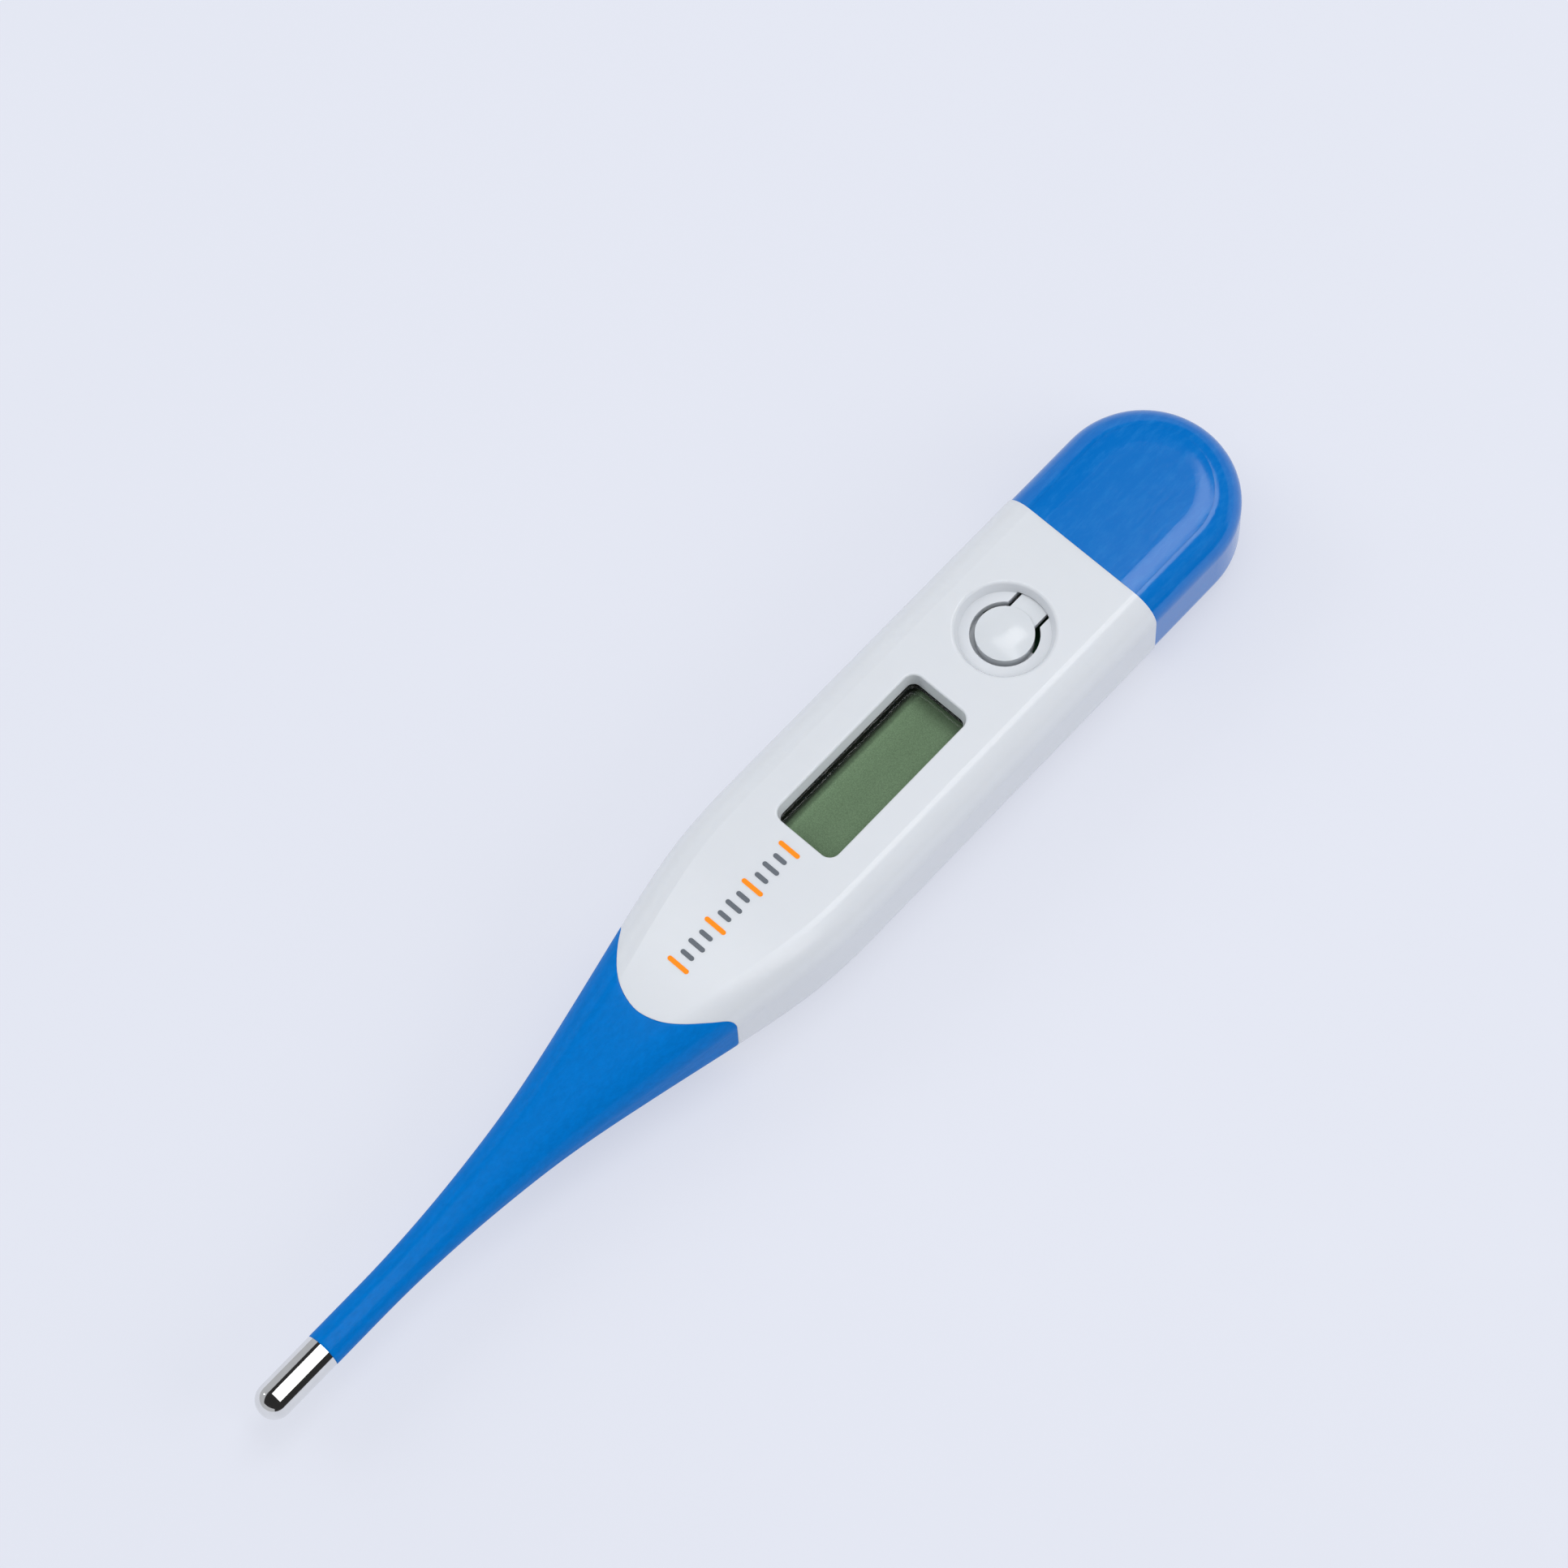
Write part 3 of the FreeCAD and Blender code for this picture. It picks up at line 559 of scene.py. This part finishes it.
def clear_acrylic():
    """Clear window whose top face has a gloss that grows at low angles."""
    finish = Finish("clear_acrylic", (1.0, 1.0, 1.0), 0.06, Metallic=1.0)
    tree = finish.tree
    finish.rough(finish.noise(0.5, detail=4), 0.04, 0.09)
    finish.bump(finish.noise(0.15, detail=2), 0.002)
    clear = tree.nodes.new("ShaderNodeBsdfTransparent")
    finish.set(clear, "Color", (0.95, 0.965, 0.955, 1))
    slant = tree.nodes.new("ShaderNodeLayerWeight")
    finish.set(slant, "Blend", 0.5)
    grazing = tree.nodes.new("ShaderNodeMath")
    grazing.operation = "POWER"
    finish.set(grazing, 1, GLOSS_POWER)
    finish.link(slant.outputs["Facing"], grazing, 0)
    gloss = tree.nodes.new("ShaderNodeMapRange")
    finish.set(gloss, "To Min", GLOSS_HEAD_ON)
    finish.link(grazing.outputs["Value"], gloss, "Value")
    normal = tree.nodes.new("ShaderNodeSeparateXYZ")
    finish.link(finish.coordinates["Normal"], normal, "Vector")
    top_only = tree.nodes.new("ShaderNodeMath")
    top_only.operation = "GREATER_THAN"
    finish.set(top_only, 1, 0.5)
    finish.link(normal.outputs["Z"], top_only, 0)
    share = tree.nodes.new("ShaderNodeMath")
    share.operation = "MULTIPLY"
    finish.link(gloss.outputs["Result"], share, 0)
    finish.link(top_only.outputs["Value"], share, 1)
    mix = tree.nodes.new("ShaderNodeMixShader")
    finish.link(share.outputs["Value"], mix, "Fac")
    finish.link(clear.outputs["BSDF"], mix, 1)
    finish.link(finish.shader.outputs["BSDF"], mix, 2)
    finish.link(mix.outputs["Shader"], tree.nodes["Material Output"], "Surface")
    return finish.material


def floor_sheet():
    finish = Finish("floor_sheet", FLOOR, 0.62, IOR=1.35, Emission_Color=(*FLOOR_GLOW, 1),
                    Emission_Strength=1.0)
    finish.mottle(finish.noise(0.012, detail=3), 0.012)
    finish.rough(finish.noise(0.05, detail=4), 0.55, 0.7)
    finish.bump(finish.noise(0.8, detail=4), 0.004)
    return finish.material


def dress(name, material):
    """Gives a CAD node its material; its mesh stays as it came."""
    mesh = NODES[name].data
    mesh.materials.clear()
    mesh.materials.append(material)


def coat(material, *pieces):
    """Gives the same material to pieces made here."""
    for piece in pieces:
        piece.data.materials.append(material)


def clear_of_neighbours(name, gap):
    """Draws a node smaller by a gap all round, so that its faces lie in no other's plane."""
    shrink = NODES[name].modifiers.new("clearance", "DISPLACE")
    shrink.mid_level = 0.0
    shrink.strength = -gap * MM


def dress_all():
    dress("housing", white_abs("white_abs", WHITE, 0.19))
    dress("power_button", white_abs("white_button", BUTTON_WHITE, 0.15))
    dress("battery_cover", blue_abs())
    dress("sensor_tip", metal("stainless", (0.80, 0.80, 0.79), 0.07, 3.0, (0.2, 1, 1)))
    dress("window_lens", clear_acrylic())
    clear_of_neighbours("window_lens", LENS_CLEARANCE)
    glass = moulded("lcd_glass", (0.006, 0.009, 0.006), 0.5, 1.0, 0.0, Specular_IOR_Level=0.0)
    dress("lcd_front_glass", glass)
    dress("lcd_rear_glass", glass)
    dress("lcd_front_polariser", lcd_film())
    nickel = metal("contact_nickel", (0.70, 0.66, 0.58), 0.25, 2.0, (0.2, 1, 1))
    cell = metal("cell_steel", (0.72, 0.72, 0.72), 0.22, 2.5, (1, 0.2, 1))
    others = {
        "lens_adhesive": moulded("foam_tape", (0.006, 0.006, 0.006), 0.8, 3.0, 0.002,
                                 Specular_IOR_Level=0.05),
        "lcd_reflector": metal("reflector_film", (0.55, 0.60, 0.55), 0.35, 1.5),
        "zebra_strip": moulded("zebra_rubber", (0.03, 0.03, 0.034), 0.6, 2.5, 0.01),
        "circuit_board": moulded("board_green", (0.01, 0.12, 0.045), 0.38, 1.2, 0.01),
        "switch_dome": metal("dome_steel", (0.68, 0.67, 0.64), 0.2, 2.0),
        "chip_blob": moulded("epoxy_black", (0.010, 0.010, 0.011), 0.25, 1.0, 0.01),
        "smd_resistors": moulded("resistor_black", (0.02, 0.02, 0.022), 0.5, 4.0, 0.006),
        "smd_capacitors": moulded("capacitor_tan", (0.32, 0.22, 0.12), 0.5, 4.0, 0.006),
        "solder_joints": metal("solder", (0.62, 0.62, 0.63), 0.28, 4.0),
        "board_screws": metal("screw_steel", (0.55, 0.55, 0.56), 0.3, 3.0),
        "chassis": moulded("natural_abs", (0.62, 0.61, 0.56), 0.5, 1.0, 0.01),
        "buzzer_plate": metal("brass_plate", (0.70, 0.50, 0.20), 0.28, 1.5),
        "buzzer_ceramic": moulded("piezo_white", (0.66, 0.65, 0.60), 0.4, 2.0, 0.004),
        "buzzer_spring": nickel, "positive_contact": nickel, "negative_contact": nickel,
        "battery_can": cell, "battery_cap": cell,
        "battery_gasket": moulded("gasket_nylon", (0.55, 0.56, 0.50), 0.5, 2.0, 0.005),
        "thermistor_bead": moulded("bead_glass", (0.12, 0.015, 0.012), 0.15, 2.0, 0.002),
        "tip_potting": moulded("epoxy_clear", (0.42, 0.32, 0.15), 0.3, 2.0, 0.006),
    }
    for name, material in others.items():
        dress(name, material)


# ---------------------------------------------------------------- studio

def aim(obj, place, target, roll=0.0):
    """Puts a camera or light at a place, looking at a target, both in millimetres."""
    place, target = Vector(place) * MM, Vector(target) * MM
    back = (place - target).normalized()
    right = Vector((0, 0, 1)).cross(back)
    right = right.normalized() if right.length > 1e-6 else Vector((1, 0, 0))
    up = back.cross(right)
    turned = right * math.cos(roll) + up * math.sin(roll)
    above = up * math.cos(roll) - right * math.sin(roll)
    basis = Matrix((turned, above, back)).transposed().to_4x4()
    basis.translation = place
    obj.matrix_world = basis


def make_camera():
    data = bpy.data.cameras.new("camera")
    data.lens = CAMERA_LENS
    data.sensor_width = CAMERA_SENSOR
    data.clip_end = CAMERA_FAR_CLIP_M
    camera = bpy.data.objects.new("camera", data)
    bpy.context.scene.collection.objects.link(camera)
    azimuth, elevation = math.radians(CAMERA_AZIMUTH), math.radians(CAMERA_ELEVATION)
    target = Vector((*CAMERA_TARGET, 0))
    away = Vector((math.cos(azimuth) * math.cos(elevation),
                   math.sin(azimuth) * math.cos(elevation), math.sin(elevation)))
    aim(camera, target + away * CAMERA_DISTANCE, target, math.radians(CAMERA_ROLL))
    bpy.context.scene.camera = camera


def softbox(name, place, target, size, radiance, glossy=True):
    """White rectangular light of an even radiance; places and size are in millimetres."""
    data = bpy.data.lights.new(name, "AREA")
    data.shape = "RECTANGLE"
    data.size, data.size_y = size[0] * MM, size[1] * MM
    data.energy = radiance * math.pi * data.size * data.size_y
    light = bpy.data.objects.new(name, data)
    bpy.context.scene.collection.objects.link(light)
    aim(light, place, target)
    light.visible_camera = False
    light.visible_glossy = glossy


def flag(name, low, high, radiance):
    """Card that only reflections see, dark or bright; corners are in millimetres."""
    axis = [i for i in range(3) if low[i] == high[i]][0]
    a, b = [i for i in range(3) if i != axis]
    points = []
    for first, second in ((low, low), (high, low), (high, high), (low, high)):
        point = [0.0, 0.0, 0.0]
        point[axis], point[a], point[b] = low[axis], first[a], second[b]
        points.append(point)
    card = mesh_object(name, points, [(0, 1, 2, 3)])
    material = bpy.data.materials.new(name)
    material.use_nodes = True
    tree = material.node_tree
    glow = tree.nodes.new("ShaderNodeEmission")
    glow.inputs["Color"].default_value = (radiance, radiance, radiance, 1)
    tree.links.new(glow.outputs["Emission"], tree.nodes["Material Output"].inputs["Surface"])
    card.data.materials.append(material)
    card.visible_camera = False
    card.visible_diffuse = False
    card.visible_shadow = False
    card.visible_transmission = False


def make_floor():
    count = FLOOR_CELLS + 1
    places = [FLOOR_REACH * (2 * i / FLOOR_CELLS - 1) for i in range(count)]
    points = [(x, y, 0.0) for y in places for x in places]
    floor = mesh_object("floor", points, grid_faces(count, count, around=False))
    floor.data.materials.append(floor_sheet())


def make_world():
    world = bpy.data.worlds.new("studio")
    bpy.context.scene.world = world
    world.use_nodes = True
    background = world.node_tree.nodes["Background"]
    background.inputs["Color"].default_value = (*WORLD_COLOUR, 1)
    background.inputs["Strength"].default_value = WORLD_STRENGTH


def make_studio():
    make_world()
    make_floor()
    softbox("overhead", (285, 40, 590), (285, 40, 0), (322, 199), 3.2)
    softbox("strip", (70, -218, 590), (70, -218, 0), (110, 853), 2.4)
    softbox("glow", (-100, 100, 900), (-100, 100, 0), (1200, 1200), 0.55, glossy=False)
    softbox("key", (-250, 700, 500), (20, 0, 0), (600, 400), 3.0, glossy=False)
    softbox("fill", (350, -750, 420), (20, 0, 0), (600, 400), 3.6, glossy=False)
    flag("dark_ceiling", (-CARD_REACH, -CARD_REACH, CARD_HEIGHT), (CARD_REACH, 560, CARD_HEIGHT),
         CARD_DARK)
    flag("sparkle", (-290, 560, 360), (-250, 560, 400), 20.0)
    flag("dark_side", (-CARD_REACH, -CARD_REACH, 0.5), (CARD_REACH, -CARD_REACH, CARD_HEIGHT),
         CARD_DARK)


dress_all()
coat(blue_tpe(), *make_probe_skin())
coat(moulded("wire_enamel", (0.45, 0.08, 0.03), 0.3, 4.0, 0.002), *make_lead_wires())
grey_print, orange_print = make_print()
coat(printed_ink("ink_grey", (0.115, 0.13, 0.15)), grey_print)
coat(printed_ink("ink_orange", (0.9, 0.24, 0.005)), orange_print)
make_camera()
make_studio()
bpy.context.scene.view_settings.view_transform = "Standard"
